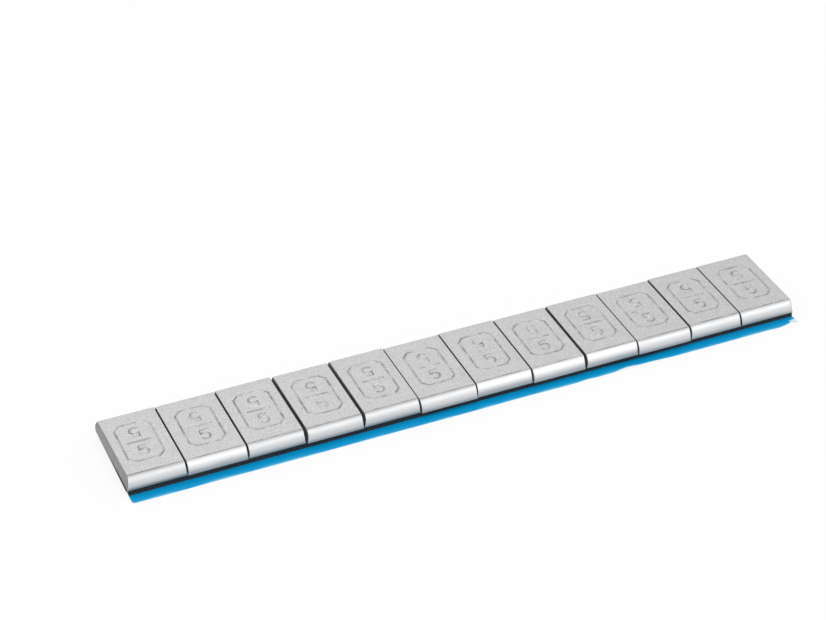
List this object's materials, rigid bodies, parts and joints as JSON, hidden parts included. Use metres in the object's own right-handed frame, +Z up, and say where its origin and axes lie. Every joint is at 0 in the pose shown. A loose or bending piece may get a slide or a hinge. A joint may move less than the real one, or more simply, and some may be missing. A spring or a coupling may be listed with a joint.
{
  "type": "wheel balance weight",
  "caption": "Flat strip of rounded-edge steel balance weight segments on black foam tape, with a blue film release liner that stands out along one long edge.",
  "frame": {"origin": "on the flat underside that the strip lies on, below the middle of the row of weights", "axes": "+X along the strip, +Z up through the weights, -Y towards the side where the liner stands out"},
  "size_m": [0.1404, 0.0212, 0.0043],
  "materials": {
    "plated_steel": "satin zinc plating",
    "foam": "fine-pored matte foam",
    "film": "smooth semi-gloss film"
  },
  "bodies": {
    "root": {"weight_segment_01": "plated_steel", "weight_segment_02": "plated_steel", "weight_segment_03": "plated_steel", "weight_segment_04": "plated_steel", "weight_segment_05": "plated_steel", "weight_segment_06": "plated_steel", "weight_segment_07": "plated_steel", "weight_segment_08": "plated_steel", "weight_segment_09": "plated_steel", "weight_segment_10": "plated_steel", "weight_segment_11": "plated_steel", "weight_segment_12": "plated_steel", "foam_tape": "foam", "release_liner": "film"}
  },
  "joints": []
}
